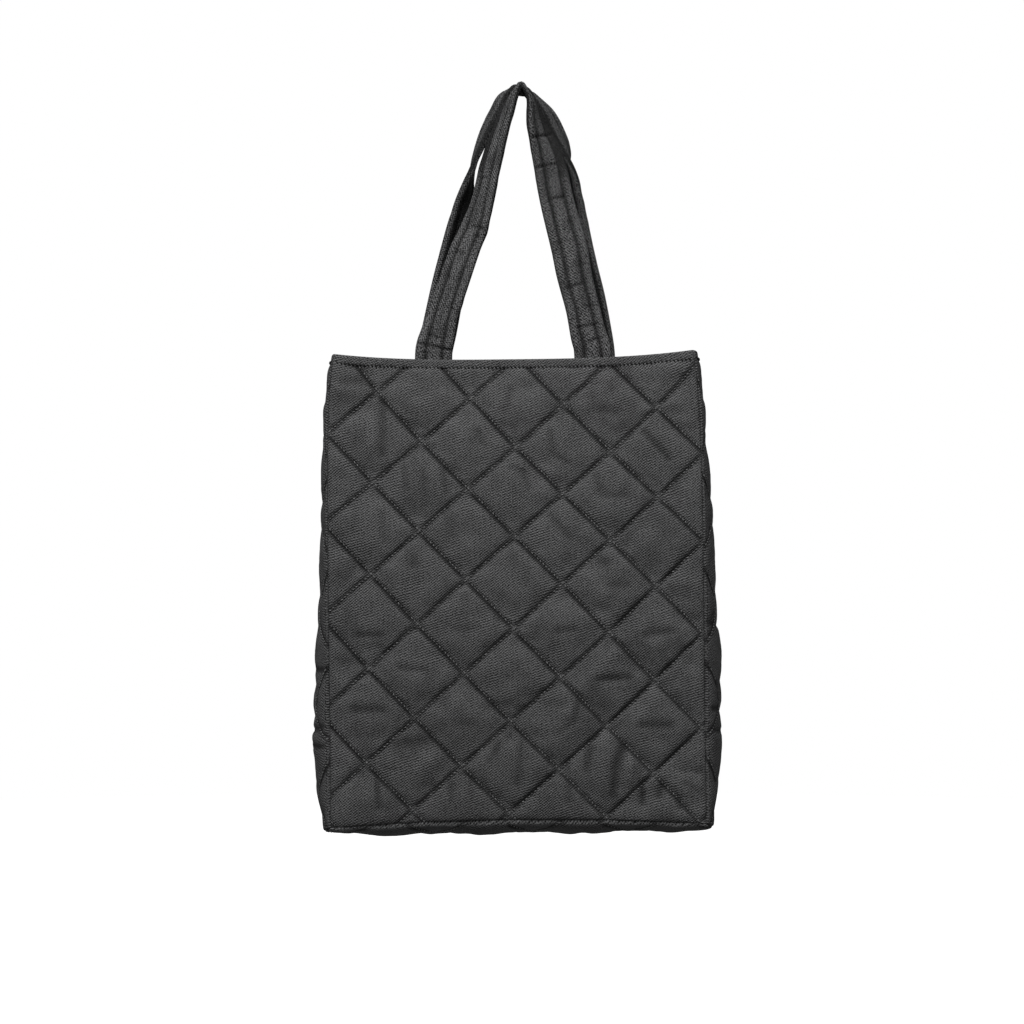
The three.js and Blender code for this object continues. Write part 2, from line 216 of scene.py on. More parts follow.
class ToteCloth(bpy.types.PropertyGroup):
    panel_width: size("Panel width", "Front and back, seam to seam", 302 * MM)
    panel_height: size("Panel height", "Hem corner to lower corner", 380 * MM)
    gusset_width: size("Gusset width", "Side and bottom gussets, laid flat", 100 * MM)
    wall: size("Wall at a stitch", "Thickness where a stitch holds the padding down", 2 * MM)
    puff_outside: size("Puff outside", "Rise of the padding between stitches, outer face", 3 * MM)
    puff_inside: size("Puff inside", "Rise of the padding between stitches, inner face", 1.4 * MM)
    pinch_reach: size("Pinch reach", "Distance from a seam at which a puff is full", 14 * MM)
    hem_depth: size("Hem depth", "Edge of the mouth down to the hem's stitches", 6.5 * MM)
    hem_thickness: size("Hem thickness", "Turned-in edge of the mouth", 4 * MM)
    seam_bite: size("Seam bite", "How far the stitches pull two walls into each other", 0.1 * MM)
    seam_roll: size("Seam roll", "How far from a seam the cloth starts to turn in", 2.2 * MM)
    quilt_across: size("Diamond width", "From one crossing to the next along a row", 76 * MM)
    quilt_down: size("Diamond height", "From one crossing to the next along a column", 75.5 * MM)


class ToteForm(bpy.types.PropertyGroup):
    hem_draw_in: size("Mouth drawn in", "Each side of the mouth, pulled in from the panel's width", 6.8 * MM)
    hem_draw_reach: size("Draw reach", "How far down that pull fades", 38 * MM)
    hem_dip: size("Mouth dip", "Middle of the mouth below its corners", 5.8 * MM)
    bottom_rise: size("Bottom rise", "Middle of the lower seams above their corners", 5 * MM)
    panel_bulge: size("Panel bulge", "Front and back, at their fullest", 8 * MM)
    gusset_bow: size("Gusset bow", "Side gussets, at their fullest", 15 * MM)
    corner_drop: size("Corner drop", "Middle of the lower gusset seams below the corners", 5.2 * MM)
    bottom_belly: size("Bottom belly", "Bottom, lower still between those seams", 2.2 * MM)
    bulge_drop: share("Bulge drop", "Over 1 the fullest place lies below mid-height", 1.4)
    arch_fullness: share("Arch fullness", "Over 2 a gusset's arch is flatter in the middle", 2.5)
    arch_roundness: share("Arch roundness", "Under 1 a gusset turns in more at its seams", 0.6, 0.3, 1)
    body_shift: size("Body shift", "Mouth's centre, to the left of the hang point", 5.8 * MM)
    hang_turn: angle("Hang turn", "Anticlockwise from the front", 0.65)


class ToteHandles(bpy.types.PropertyGroup):
    drop: size("Handle drop", "Hang point down to the mouth's corners", 214 * MM)
    width: size("Width", "Across a handle", 30 * MM)
    thickness: size("Thickness", "Through a handle's padding", 5 * MM)
    edge_round: size("Edge rounding", "At both edges of a handle", 2.2 * MM)
    spread: size("Spread", "One handle's legs, centre to centre at the mouth", 127 * MM)
    tail: size("Sewn-in tail", "End of a handle below the mouth's corners", 32 * MM)
    seat_gap: size("Seat gap", "Handle to the fullest puff of the inner face", 0.3 * MM)
    channel_inset: size("Channel place", "Each row of stitches from the handle's middle", 6.7 * MM)
    channel_depth: size("Channel depth", "Rows of stitches below the padding", 1.5 * MM)


class ToteStitches(bpy.types.PropertyGroup):
    pitch: size("Stitch pitch", "From one stitch to the next", 3.2 * MM)
    length: size("Stitch length", "Thread that shows in one stitch", 2.3 * MM)
    thread: size("Thread width", "Thread that shows in one stitch", 0.95 * MM)


class ToteFinish(bpy.types.PropertyGroup):
    cloth: colour("Cloth", "Charcoal twill of the walls", (0.05, 0.05, 0.0505))
    handle: colour("Handle cloth", "Twill of the handles", (0.045, 0.045, 0.0455))
    # The bag's thread has the cloth's own colour: the quilting thread is painted lighter, a painted highlight
    # on stitches that catch the light, and the seam thread near black, painted shade in the hem, seam and
    # handle stitches.
    thread: colour("Quilting thread", "Thread of the quilting", (0.085, 0.085, 0.085))
    shaded_seam_thread: colour("Seam thread", "Thread of the hem, seams and handles", (0.012, 0.012, 0.012))
    wale_pitch: size("Wale pitch", "From one diagonal rib of the twill to the next", 2 * MM)
    wale_angle: angle("Wale angle", "Ribs' rise from left to right", 18)


class ToteStage(bpy.types.PropertyGroup):
    distance: size("Camera distance", "Camera to the front panel", 2.2)
    camera_left: size("Camera left", "Camera to the left of the hang point", 6.8 * MM)
    camera_drop: size("Camera drop", "Hang point down to the camera's height", 342.1 * MM)
    lens: bpy.props.FloatProperty(
        name="Lens", description="Focal length", default=96.7, min=10, unit="CAMERA"
    )
    floor_drop: size("Floor drop", "Hang point down to the floor", 0.98)
    key: power("Key light", "Soft light, above", 95)
    key_distance: size("Key distance", "Key light to the front panel", 2.3)
    key_size: size("Key size", "Side of the key light", 1.1)
    key_height: angle("Key height", "Key light above the level", 54)
    key_side: angle("Key side", "Key light to the left of the front", 15)
    fill: power("Fill light", "Soft light, right", 5)
    fill_distance: size("Fill distance", "Fill light to the front panel", 2.2)
    fill_size: size("Fill size", "Side of the fill light", 1.2)
    fill_height: angle("Fill height", "Fill light above the level", 5)
    fill_side: angle("Fill side", "Fill light to the left of the front", -50)
    aim_drop: size("Aim drop", "Hang point down to where the lights point", 0.4)
    sky: share("Room light", "Even white light from all round", 0.25)


def cloth():
    return bpy.context.scene.tote_cloth


def form():
    return bpy.context.scene.tote_form


def handles():
    return bpy.context.scene.tote_handles


def stitches():
    return bpy.context.scene.tote_stitches


def finish():
    return bpy.context.scene.tote_finish


# Small curves and mesh steps


def row_curve(rows, places):
    """Smooth curve through rows of (place, value), with no overshoot between them."""
    at, values = np.array(rows, float).T
    slopes = np.diff(values) / np.diff(at)
    tangents = np.zeros(len(at))
    inner = slopes[:-1] * slopes[1:] > 0
    tangents[1:-1][inner] = 2 / (1 / slopes[:-1][inner] + 1 / slopes[1:][inner])
    places = np.clip(places, at[0], at[-1])
    k = np.clip(np.searchsorted(at, places, side="right") - 1, 0, len(at) - 2)
    span = at[k + 1] - at[k]
    s = (places - at[k]) / span
    return (
        (2 * s**3 - 3 * s**2 + 1) * values[k]
        + (s**3 - 2 * s**2 + s) * span * tangents[k]
        + (3 * s**2 - 2 * s**3) * values[k + 1]
        + (s**3 - s**2) * span * tangents[k + 1]
    )


def ease(x):
    x = np.clip(x, 0, 1)
    return x * x * (3 - 2 * x)


def points_of(piece):
    points = np.empty(len(piece.data.vertices) * 3)
    piece.data.vertices.foreach_get("co", points)
    return points.reshape(-1, 3)


def move_points(piece, points):
    piece.data.vertices.foreach_set("co", np.asarray(points, np.float32).ravel())
    piece.data.update()


def open_mesh(piece):
    """Starts edit mode on one piece alone, with all of its mesh selected."""
    if bpy.context.object and bpy.context.object.mode != "OBJECT":
        bpy.ops.object.mode_set(mode="OBJECT")
    bpy.ops.object.select_all(action="DESELECT")
    bpy.context.view_layer.objects.active = piece
    piece.select_set(True)
    bpy.ops.object.mode_set(mode="EDIT")
    bpy.ops.mesh.select_all(action="SELECT")


def close_mesh():
    bpy.ops.object.mode_set(mode="OBJECT")


def turn_faces_out(piece):
    open_mesh(piece)
    bpy.ops.mesh.normals_make_consistent(inside=False)
    close_mesh()


def new_piece(name, points, faces):
    """A mesh piece in the row frame."""
    mesh = bpy.data.meshes.new(name)
    points, faces = np.asarray(points, np.float32), np.asarray(faces, np.int32)
    sides = faces.shape[1]
    mesh.vertices.add(len(points))
    mesh.vertices.foreach_set("co", points.ravel())
    mesh.loops.add(faces.size)
    mesh.loops.foreach_set("vertex_index", faces.ravel())
    mesh.polygons.add(len(faces))
    mesh.polygons.foreach_set("loop_start", np.arange(0, faces.size, sides, dtype=np.int32))
    mesh.polygons.foreach_set("use_smooth", np.ones(len(faces), bool))
    mesh.update(calc_edges=True)
    mesh.validate()
    piece = bpy.data.objects.new(name, mesh)
    bpy.context.collection.objects.link(piece)
    return piece


def lay_flat_map(piece, flat):
    """Writes the UV map called cloth, and no other, from each point's place on the flat cloth, in metres."""
    mesh = piece.data
    layer = mesh.uv_layers.new(name="cloth")
    corners = np.empty(len(mesh.loops), np.int32)
    mesh.loops.foreach_get("vertex_index", corners)
    layer.uv.foreach_set("vector", np.asarray(flat, np.float32)[corners].ravel())
    for spare in [layer.name for layer in mesh.uv_layers if layer.name != "cloth"]:
        mesh.uv_layers.remove(mesh.uv_layers[spare])


def shade_points(piece, shade):
    """Keeps each point's painted shade for the twill: towards 1 in grooves, folds, seams and handle channels,
    below 0 where light is painted.
    """
    layer = piece.data.attributes.new("shade", "FLOAT", "POINT")
    layer.data.foreach_set("value", np.asarray(shade, np.float32))


def bank(distance, steep, soft, part):
    """Rise of the padding beside a line of stitches: part of it steep, over so many mm, and the rest soft."""
    steep_rise = 1 - np.exp(-((distance / (steep * MM)) ** 1.5))
    soft_rise = 1 - np.exp(-distance / (soft * MM))
    return part * steep_rise + (1 - part) * soft_rise


def unevenness(across, down, pitch_across, pitch_down, seed):
    """Smooth random hills and hollows from -1 to 1, with the given spacing each way."""
    table = np.random.default_rng(seed).uniform(-1, 1, (64, 64))
    u, v = across / pitch_across + 32, down / pitch_down + 8
    i, j = np.floor(u).astype(int), np.floor(v).astype(int)
    fu, fv = ease(u - i), ease(v - j)
    corner = lambda di, dj: table[(i + di) % 64, (j + dj) % 64]
    near = corner(0, 0) * (1 - fu) + corner(1, 0) * fu
    far = corner(0, 1) * (1 - fu) + corner(1, 1) * fu
    return near * (1 - fv) + far * fv


def folds(name, across, down):
    """Depth of a wall's soft folds, in mm. The back hangs in the front's folds, seen from behind."""
    deep = np.zeros(len(across))
    for x0, y0, x1, y1, half_width, depth in FOLDS.get(name.replace("back", "front"), ()):
        along = np.array([x1 - x0, y1 - y0]) * MM
        from_start = np.column_stack((across - x0 * MM, down - y0 * MM))
        share_along = np.clip(from_start @ along / (along @ along), 0, 1)
        gap = np.linalg.norm(from_start - share_along[:, None] * along, axis=1)
        here = depth * np.exp(-((gap / (half_width * MM)) ** 2))
        deep = np.where(np.abs(here) > np.abs(deep), here, deep)
    return deep


# Walls


class Wall:
    """One quilted wall: its flat cloth and the form that it takes on the body.

    across runs from the middle and down from the top edge of the flat cloth, inset goes inwards from the
    outer face, and lift outwards."""

    def __init__(self, name, width, height, quilt, hemmed, form_at, side=1):
        self.name, self.width, self.height, self.hemmed = name, width, height, hemmed
        self.form_at, self.side = form_at, side
        across, down, fall, lean = QUILTS[quilt]
        column, row = cloth().quilt_across / 2, cloth().quilt_down / 2
        self.origin = np.array([across, down])
        self.falling = np.array([column - lean * row, row + fall * column])  # along a "\" line of stitches
        self.rising = np.array([column + lean * row, -row + fall * column])  # along a "/" line of stitches
        self.cells = np.column_stack((self.falling, self.rising))
        turn = abs(np.linalg.det(self.cells))
        self.falling_reach = turn / np.linalg.norm(self.rising)  # one cell's height over a "/" line
        self.rising_reach = turn / np.linalg.norm(self.falling)

    def wander(self, across, down):
        """How far the sewn lines lie from even ones."""
        off = [0.35 * MM * unevenness(across, down, 31 * MM, 37 * MM, seed) for seed in (21, 22)]
        if self.name == "front_panel":
            table = np.array(WANDER) * MM
            column = np.clip((across / self.width + 0.5) * 4, 0, 3.999)
            row = np.clip(down / self.height * 6, 0, 5.999)
            i, j = column.astype(int), row.astype(int)
            fi, fj = (column - i)[:, None], (row - j)[:, None]
            low = table[j, i] * (1 - fi) + table[j, i + 1] * fi
            high = table[j + 1, i] * (1 - fi) + table[j + 1, i + 1] * fi
            off = np.array(off) + (low * (1 - fj) + high * fj).T
        return off[0], off[1]

    def sewn(self, flat):
        """Moves points of even quilting to where they are sewn."""
        return flat + np.column_stack(self.wander(*flat.T))

    def cell_place(self, across, down):
        x, y = across, down
        for _ in range(4):
            dx, dy = self.wander(x, y)
            x, y = across - dx, down - dy
        flat = np.column_stack((x, y)) - self.origin
        return (flat @ np.linalg.inv(self.cells).T).T

    def corner_cells(self):
        w, h = self.width / 2, self.height
        return np.array(self.cell_place(*np.array([(-w, 0), (w, 0), (w, h), (-w, h)]).T))

    def edge_distances(self, across, down):
        """Distances to the nearer side seam, the lower seam and the upper seam, or the hem's stitches."""
        top = down - cloth().hem_depth if self.hemmed else down
        return self.width / 2 - np.abs(across), self.height - down, top

    def padding(self, across, down):
        """Padding's rise, from 0 at a line of stitches to about 1 in the middle of a diamond."""
        falling, rising = self.cell_place(across, down)
        a, b = falling - np.floor(falling), rising - np.floor(rising)
        slash = (a * self.falling_reach, (1 - a) * self.falling_reach)
        backslash = (b * self.rising_reach, (1 - b) * self.rising_reach)
        late = self.lateness(across, down)
        steep = 0.2 + 0.32 * late
        puff = bank(slash[0], 2.4 - 0.5 * late, 8, steep) * bank(slash[1], 2.6, 8, steep)
        puff *= bank(backslash[0], 2.4, 8, steep) * bank(backslash[1], 2, 7, steep)
        crown = 0.85 + 0.15 * np.sin(np.pi * a) * np.sin(np.pi * b)
        sides, bottom, top = self.edge_distances(across, down)
        pinch = lambda distance: 1 - np.exp(-np.maximum(distance, 0) / (0.3 * cloth().pinch_reach))
        return puff * crown * pinch(sides) * pinch(bottom) * pinch(top)

    def lateness(self, across, down):
        """0 at the upper left to 1 at the lower right, where the padding leans down more."""
        return ease((across / self.width + 0.5) * 0.8 + down / self.height * 0.9 - 0.65)

    def shade(self, across, down):
        """Painted shade of the cloth: towards 1 in the quilting, the folds and the seams, 0 away from them,
        and below 0 where a painted highlight lies beside the lower seams or on a ridge."""
        falling, rising = self.cell_place(across, down)
        late = self.lateness(across, down)
        slash = (falling - np.round(falling)) * self.falling_reach / MM
        backslash = (rising - np.round(rising)) * self.rising_reach / MM
        rough = 0.5 + 0.5 * unevenness(across, down, 3 * MM, 3 * MM, 51)
        apart = 1 - np.exp(-(slash**2 + backslash**2) / 3.6**2)  # the grooves open where they cross
        band = lambda distance, half_width: apart * np.exp(-np.abs(distance / half_width) ** 3)
        # painted shade in the grooves of the quilting, left out where the grooves cross
        lines = 1 - (0.88 - 0.2 * rough * (1 - late)) * band(slash + 0.5 + late, 2.4 - 0.3 * late)
        lines *= 1 - (0.94 - 0.2 * late) * band(backslash + 1.1, 2.4 - 0.5 * late)
        # painted shade in random soft patches and in the folds; a ridge is painted paler
        painted_fold_shade = np.maximum(unevenness(across, down, 8 * MM, 14 * MM, 53) - 0.45, 0)
        painted_fold_shade += 0.95 * folds(self.name, across, down)
        lines *= 1 - 0.5 * np.clip(painted_fold_shade, -0.6, 1.4)
        sides, bottom, top = self.edge_distances(across, down)
        lines = np.where(top > 0, lines, 1)
        if not self.hemmed:  # painted highlight: the folded cloth beside the lower seams is painted paler where its rolled edge catches the light
            wear_and_painted_light = 1.3 + 0.9 * unevenness(across, down, 9 * MM, 200 * MM, 61)
            lines += wear_and_painted_light * np.exp(-(((np.minimum(bottom, top) / MM - 2.4) / 1.2) ** 2))
        # painted shade along the side and lower seams
        return 1 - lines * (1 - 0.4 * np.exp(-np.minimum(sides, bottom) / (0.8 * MM)))

    def faces_at(self, across, down):
        """Inset of the outer and of the inner face, with the padding left out."""
        sizes = cloth()
        half = sizes.wall / 2
        outer = inner = np.full(np.shape(across), half)
        sides, bottom, top = self.edge_distances(across, down)
        near = np.minimum(sides, bottom) if self.hemmed else np.minimum(np.minimum(sides, bottom), top)
        roll = np.sqrt(1 - np.clip(1 - np.maximum(near, 0) / sizes.seam_roll, 0, 1) ** 2)
        if self.hemmed:
            turned = 1 - ease(top / (1.5 * MM))
            rim = np.sqrt(1 - (1 - np.clip(down / (1.7 * MM), 0, 1)) ** 2)
            dent = 0.2 * MM * np.exp(-((top / (0.7 * MM)) ** 2))
            outer = rim * (half + 0.2 * MM * turned) - dent
            inner = rim * (half + (0.25 * MM + sizes.hem_thickness / 2 - half) * turned) - dent
        return half - outer * roll, half + inner * roll

    def at(self, across, down, inset, lift):
        """Places points of the flat cloth on the hanging bag, in the row frame."""
        sizes, shape = cloth(), form()
        bite = sizes.seam_bite / math.sqrt(2)
        top = 0 if self.hemmed else -bite
        across = across * (1 + 2 * bite / self.width)
        down = top + (self.height + bite - top) * down / self.height
        x, y, z = self.form_at(self, across, down, inset, lift)
        c, s = math.cos(shape.hang_turn), math.sin(shape.hang_turn)
        return np.column_stack((x * c - z * s - shape.body_shift, y, x * s + z * c - handles().drop))


def arch(deep):
    return np.maximum(1 - np.abs(deep) ** form().arch_fullness, 0) ** form().arch_roundness


def around(across):
    """Turns even steps over an arch's cloth into steps across its chord, so that the weave isn't stretched
    at the seams."""
    chord = np.sin(np.linspace(-np.pi / 2, np.pi / 2, 801))
    steps = np.hypot(np.diff(chord), ARCH_HEIGHT * np.diff(arch(chord)))
    over = np.concatenate(([0], np.cumsum(steps)))
    return np.interp((across + 1) / 2 * over[-1], over, chord)


def bow_at(down, side=0):
    rows = {0: BOW_ROWS, -1: LEFT_BOW_ROWS, 1: RIGHT_BOW_ROWS}[side]
    return form().gusset_bow * row_curve(rows, down)


def seam_half_width(down):
    sizes, shape = cloth(), form()
    fade = np.exp(-down * sizes.panel_height / shape.hem_draw_reach)
    return sizes.panel_width / 2 - shape.hem_draw_in * fade


def half_depth(down):
    """Half of the bag's depth. The side gussets' bow takes up some of their width."""
    width = cloth().gusset_width
    return width / 2 - (4 / 3) * bow_at(down) ** 2 / width


def panel_form(wall, across, down, inset, lift):
    shape = form()
    t, s = across / (wall.width / 2), down / wall.height
    bulge = shape.panel_bulge * (1 - t**2) * np.sin(np.pi * np.clip(s, 0, 1) ** shape.bulge_drop)
    hem = -shape.hem_dip * (1 - np.abs(t) ** 3)
    seam = -wall.height + shape.bottom_rise * (1 - t**2) + inset
    return (
        t * (seam_half_width(s) - inset),
        wall.side * (half_depth(s) - inset + bulge + lift),
        hem + (seam - hem) * s,
    )


def gusset_form(wall, deep, down, inset, lift):
    v, s = around(deep / (wall.width / 2)), down / wall.height
    curve = arch(v)
    return (
        wall.side * (seam_half_width(s) - inset + bow_at(s, wall.side) * curve + lift),
        v * (half_depth(s) - inset),
        (-wall.height + inset - form().corner_drop * curve) * s,
    )


def bottom_form(wall, across, deep, inset, lift):
    shape = form()
    t, v = across / (wall.width / 2), around(2 * deep / wall.height - 1)
    curve, one = arch(v), np.ones(np.shape(across))
    sag = curve * (shape.corner_drop + shape.bottom_belly * (1 - t**6))
    low = -cloth().panel_height
    seam = low + shape.bottom_rise * (1 - t**2)
    return (
        t * (seam_half_width(one) - inset + bow_at(one) * curve),
        v * (half_depth(one) - inset),
        seam + (low - seam) * curve - sag + inset - lift,
    )


def walls():
    sizes = cloth()
    panel = (sizes.panel_width, sizes.panel_height, "panel", True, panel_form)
    gusset = (sizes.gusset_width, sizes.panel_height, "gusset", True, gusset_form)
    return {
        "front_panel": Wall("front_panel", *panel, -1),
        "back_panel": Wall("back_panel", *panel, 1),
        "left_gusset": Wall("left_gusset", *gusset, -1),
        "right_gusset": Wall("right_gusset", *gusset, 1),
        "bottom_gusset": Wall(
            "bottom_gusset", sizes.panel_width, sizes.gusset_width, "bottom", False, bottom_form
        ),
    }


def cut_sheet(wall, steps=MESH_STEPS):
    """Flat cloth on the XY plane, across on X and down on -Y, with the mesh laid along its quilting."""
    low = np.floor(wall.corner_cells().min(1)).astype(int)
    span = np.ceil(wall.corner_cells().max(1)).astype(int) - low
    bpy.ops.object.select_all(action="DESELECT")
    columns, rows = (int(cells) * steps for cells in span)
    bpy.ops.mesh.primitive_grid_add(x_subdivisions=columns, y_subdivisions=rows, size=1)
    sheet = bpy.context.object
    sheet.name = sheet.data.name = wall.name + "_quilting"
    grid = (points_of(sheet)[:, :2] + 0.5) * span + low
    grid -= STITCH_CROWDING * np.sin(2 * np.pi * grid) / (2 * np.pi)
    flat = wall.sewn(grid @ wall.cells.T + wall.origin)
    step = wall.falling_reach / steps
    for axis, edge in ((0, -wall.width / 2), (0, wall.width / 2), (1, 0), (1, wall.height)):
        close = np.abs(flat[:, axis] - edge) < step * EDGE_SNAP
        flat[close, axis] = edge
    move_points(sheet, np.column_stack((flat[:, 0], -flat[:, 1], np.zeros(len(flat)))))
    open_mesh(sheet)
    w, h = wall.width / 2, wall.height
    for x, y, out_x, out_y in ((-w, 0, -1, 0), (w, 0, 1, 0), (0, 0, 0, 1), (0, -h, 0, -1)):
        bpy.ops.mesh.select_all(action="SELECT")
        bpy.ops.mesh.bisect(
            plane_co=(x, y, 0), plane_no=(out_x, out_y, 0), clear_outer=True, threshold=1e-6
        )
    bpy.ops.mesh.select_all(action="SELECT")
    bpy.ops.mesh.remove_doubles(threshold=0.05 * MM)
    close_mesh()
    return sheet


def score_sheet(wall, sheet):
    """Adds the lines of mesh that the rolled seams and the hem need."""
    sizes = cloth()
    w, h = wall.width / 2, wall.height
    roll = [sizes.seam_roll * x for x in (0.12, 0.42, 1)]
    lines = [(x, 0) for r in roll for x in (-w + r, w - r)] + [(0, h - r) for r in roll]
    if wall.hemmed:
        half = sizes.hem_thickness / 2
        lines += [(0, half * x) for x in (0.08, 0.3, 0.62, 1, 1.6, 2.3)]
        lines += [(0, sizes.hem_depth + x * MM) for x in (-0.8, 0, 0.8, 1.8, 3)]
    else:
        lines += [(0, r) for r in roll]
    open_mesh(sheet)
    for across, down in lines:
        bpy.ops.mesh.select_all(action="SELECT")
        bpy.ops.mesh.bisect(
            plane_co=(across, -down, 0), plane_no=(1, 0, 0) if across else (0, 1, 0), threshold=0.08 * MM
        )
    close_mesh()


def settle(wall, sheet, swell=0.012, frames=20):
    """Cloth simulation of the outer face, held at its stitches. Returns how far each point moved."""
    trial = sheet.copy()
    trial.data = sheet.data.copy()
    bpy.context.collection.objects.link(trial)
    flat = points_of(sheet)
    across, down = flat[:, 0], -flat[:, 1]
    start = flat.copy()
    ripple = np.random.default_rng(7).normal(0, START_RIPPLE, len(flat))
    falling, rising = wall.cell_place(across, down)
    sides, bottom, top = wall.edge_distances(across, down)
    on_line = (np.abs(falling - np.round(falling)) < 1e-3) | (np.abs(rising - np.round(rising)) < 1e-3)
    held = on_line | (np.minimum(np.minimum(sides, bottom), top) < 1 * MM)
    start[:, 2] = cloth().puff_outside * wall.padding(across, down) + np.where(held, 0, ripple)
    move_points(trial, start)
    group = trial.vertex_groups.new(name="stitched")
    group.add(np.flatnonzero(held).tolist(), 1.0, "REPLACE")
    drape = trial.modifiers.new("Cloth", "CLOTH").settings
    drape.quality = 5
    drape.mass = 0.2
    drape.tension_stiffness = drape.compression_stiffness = 20
    drape.shear_stiffness = 8
    drape.bending_stiffness = 0.4
    drape.air_damping = 4
    drape.vertex_group_mass = group.name
    drape.pin_stiffness = 1
    drape.shrink_min = -swell
    drape.use_pressure = True
    drape.uniform_pressure_force = 1.5
    drape.effector_weights.gravity = 0
    scene = bpy.context.scene
    scene.frame_start, scene.frame_end = 1, frames
    for moment in range(1, frames + 1):
        scene.frame_set(moment)
    settled = trial.evaluated_get(bpy.context.evaluated_depsgraph_get())
    end = np.empty(len(flat) * 3)
    settled.data.vertices.foreach_get("co", end)
    moved = end.reshape(-1, 3) - start
    scene.frame_set(1)
    bpy.data.objects.remove(trial)
    far = np.linalg.norm(moved, axis=1, keepdims=True)
    return moved * np.minimum(1, FARTHEST_PUCKER / np.maximum(far, 1e-9))


def keep_on_mesh(sheet, name, vectors):
    layer = sheet.data.attributes.new(name, "FLOAT_VECTOR", "POINT")
    layer.data.foreach_set("vector", np.asarray(vectors, np.float32).ravel())


def read_from_mesh(sheet, name):
    values = np.zeros(len(sheet.data.vertices) * 3, np.float32)
    sheet.data.attributes[name].data.foreach_get("vector", values)
    return values.reshape(-1, 3).astype(float)


def smooth_over_mesh(sheet, values, rounds):
    edges = np.empty(len(sheet.data.edges) * 2, np.int32)
    sheet.data.edges.foreach_get("vertices", edges)
    a, b = edges.reshape(-1, 2).T
    count = np.bincount(edges, minlength=len(values))[:, None] + 1.0
    for _ in range(rounds):
        total = values.copy()
        np.add.at(total, a, values[b])
        np.add.at(total, b, values[a])
        values = total / count
    return values


def make_wall(wall):
    sheet = cut_sheet(wall)
    moved = settle(wall, sheet)
    keep_on_mesh(sheet, "puckers", moved)
    open_mesh(sheet)
    bpy.ops.mesh.subdivide(number_cuts=1)
    close_mesh()
    score_sheet(wall, sheet)
    puckers = smooth_over_mesh(sheet, read_from_mesh(sheet, "puckers"), 2)
    keep_on_mesh(sheet, "soft_puckers", puckers)
    lay_flat_map(sheet, points_of(sheet)[:, :2])
    thick = sheet.modifiers.new("Solidify", "SOLIDIFY")
    thick.thickness, thick.offset = cloth().wall, -1
    bpy.context.view_layer.objects.active = sheet
    bpy.ops.object.modifier_apply(modifier=thick.name)
    points = points_of(sheet)
    across, down, inner = points[:, 0], -points[:, 1], points[:, 2] < -cloth().wall / 2
    puckers = read_from_mesh(sheet, "soft_puckers")
    padding = wall.padding(across, down)
    outside, inside = wall.faces_at(across, down)
    sizes = cloth()
    uneven = -FOLD_PRESS * folds(wall.name, across, down)
    for depth, spacing_across, spacing_down, seed in WALL_UNEVENNESS:
        uneven += depth * unevenness(across, down, spacing_across * MM, spacing_down * MM, seed)
    # painted shade in the grooves, folds and seams, and painted highlights beside the lower seams; it also
    # dents the grooves
    shade = wall.shade(across, down)
    outer_lift = (sizes.puff_outside + uneven * MM) * padding - GROOVE_DENT * shade + puckers[:, 2]
    if wall.name.endswith("gusset"):
        outer_lift *= GUSSET_PUFF
    lift = np.where(inner, -sizes.puff_inside * padding, outer_lift)
    shade_points(sheet, shade)
    shift = np.where(inner, 0, 1)
    placed = wall.at(
        np.clip(across + shift * puckers[:, 0], -wall.width / 2, wall.width / 2),
        np.clip(down - shift * puckers[:, 1], 0, wall.height),
        np.where(inner, inside, outside),
        lift,
    )
    move_points(sheet, placed)
    for spare in ("puckers", "soft_puckers"):
        sheet.data.attributes.remove(sheet.data.attributes[spare])
    open_mesh(sheet)
    bpy.ops.mesh.remove_doubles(threshold=0.01 * MM)
    bpy.ops.mesh.normals_make_consistent(inside=False)
    bpy.ops.mesh.faces_shade_smooth()
    close_mesh()
    dress(sheet, "quilted_twill", wall.name)
    return sheet


def dress(piece, slot, *nodes):
    piece.data.materials.clear()
    piece.data.materials.append(twill(slot))
    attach(piece, "root")
    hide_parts(*nodes)


# Stitches


def thread_template():
    """One stitch along X, one unit long, wide and high, its ends drawn down into the cloth."""
    bpy.ops.object.select_all(action="DESELECT")
    bpy.ops.mesh.primitive_uv_sphere_add(segments=5, ring_count=4, radius=0.5)
    stitch = bpy.context.object
    open_mesh(stitch)
    bpy.ops.transform.rotate(value=math.pi / 2, orient_axis="Y", center_override=(0, 0, 0))
    bpy.ops.mesh.quads_convert_to_tris()
    close_mesh()
    points = points_of(stitch)
    points[:, 2] -= 1.6 * points[:, 0] ** 2
    points[:, 1] += 0.7 * points[:, 0]
    faces = np.array([list(face.vertices) for face in stitch.data.polygons])
    bpy.data.objects.remove(stitch)
    return points, faces


def sew(name, runs, thread, heavy=1):
    """Joins one stitch per place. Each run is (starts, directions, place) on flat cloth, and place takes
    across, down and lift."""
    template, faces = thread_template()
    sizes = stitches()
    width = sizes.thread * heavy
    points, all_faces, count = [], [], 0
    for starts, directions, place in runs:
        starts, directions = np.asarray(starts), np.asarray(directions)
        along = template[:, 0] * sizes.length
        beside = template[:, 1] * width
        above = (template[:, 2] + 0.35) * width
        sideways = np.column_stack((-directions[:, 1], directions[:, 0]))
        flat = starts[:, None] + directions[:, None] * along[None, :, None]
        flat = flat + sideways[:, None] * beside[None, :, None]
        lift = np.broadcast_to(above, flat.shape[:2])
        placed = place(flat[..., 0].ravel(), flat[..., 1].ravel(), lift.ravel())
        first = count + np.arange(len(starts)) * len(template)
        points.append(placed)
        all_faces.append((faces[None] + first[:, None, None]).reshape(-1, 3))
        count += len(placed)
    piece = new_piece(name, np.concatenate(points), np.concatenate(all_faces))
    turn_faces_out(piece)
    piece.data.materials.append(thread_finish(thread))
    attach(piece, "root")
    return piece


